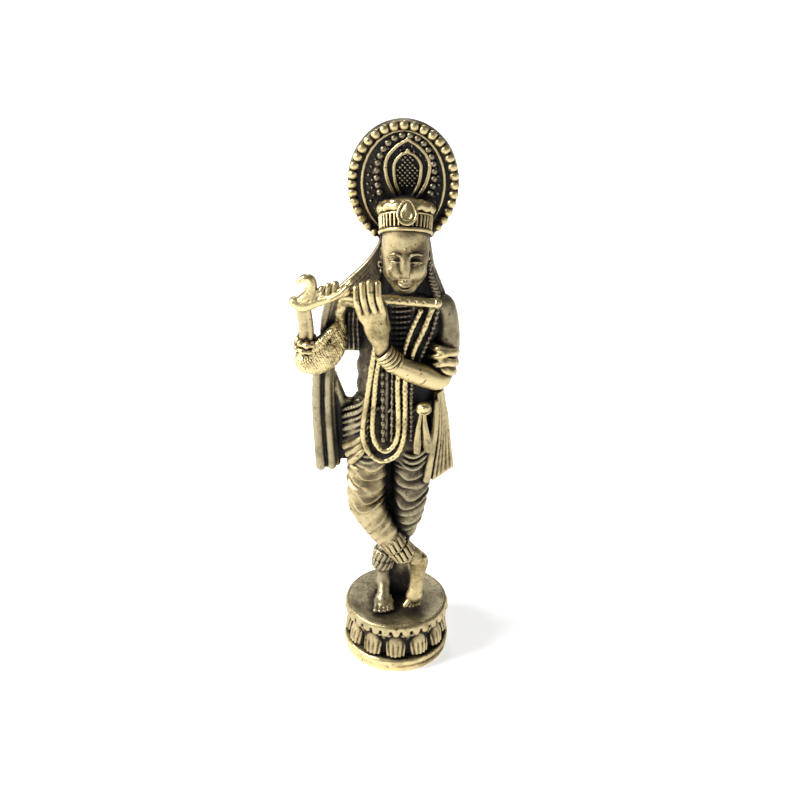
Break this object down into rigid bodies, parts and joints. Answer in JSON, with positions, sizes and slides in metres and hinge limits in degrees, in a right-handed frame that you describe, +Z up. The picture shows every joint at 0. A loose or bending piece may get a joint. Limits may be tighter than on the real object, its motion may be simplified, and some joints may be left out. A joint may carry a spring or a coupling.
{
  "type": "hindu deity statue",
  "caption": "Miniature cast brass figurine of a standing flute player with crossed legs, on a round lotus pedestal, with a beaded oval halo plate behind the crown",
  "frame": {"origin": "centre of the pedestal's flat underside", "axes": "+Z up from the underside to the top of the halo, the figure faces -Y, and its own left side is at +X"},
  "size_m": [0.0169, 0.0114, 0.0615],
  "materials": {
    "bright_brass": "satin",
    "aged_brass": "satin",
    "dull_brass": "satin",
    "dark_brass": "matte"
  },
  "bodies": {
    "root": {"belt": "dull_brass", "crossed_anklet": "aged_brass", "crossed_foot": "bright_brass", "crossed_leg": "aged_brass", "crown_band": "bright_brass", "crown_dome": "aged_brass", "crown_jewel": "bright_brass", "crown_rim": "bright_brass", "crown_roll": "bright_brass", "flute": "bright_brass", "garland_inner": "bright_brass", "garland_outer": "bright_brass", "halo_inner_beads": "dark_brass", "halo_lattice": "dark_brass", "halo_leaf_inner": "aged_brass", "halo_leaf_outer": "aged_brass", "halo_plate": "dark_brass", "halo_ridge": "aged_brass", "halo_rim_beads": "bright_brass", "head": "aged_brass", "hip_wrap": "dull_brass", "left_armlet": "bright_brass", "left_bangles": "bright_brass", "left_ear_ornament": "aged_brass", "left_forearm": "bright_brass", "left_hair": "dark_brass", "left_hand": "bright_brass", "left_scarf_tail": "aged_brass", "left_upper_arm": "dull_brass", "neck": "dark_brass", "necklaces": "dark_brass", "pedestal_drum": "dark_brass", "pedestal_edge_beads": "aged_brass", "pedestal_foot_ring": "bright_brass", "pedestal_leaf_tips": "aged_brass", "pedestal_petals": "aged_brass", "pedestal_top_disc": "dull_brass", "pendant_beads": "dark_brass", "right_bracelets": "bright_brass", "right_ear_ornament": "aged_brass", "right_forearm": "aged_brass", "right_hair": "dark_brass", "right_hand": "bright_brass", "right_scarf_tail": "dull_brass", "right_upper_arm": "bright_brass", "sash": "aged_brass", "shawl_fold": "dull_brass", "shoulder_strand": "dark_brass", "standing_anklet": "dull_brass", "standing_foot": "dull_brass", "standing_leg": "dull_brass", "tassel_knot": "bright_brass", "tassel_long": "aged_brass", "tassel_short": "aged_brass", "torso": "dark_brass"}
  },
  "joints": []
}
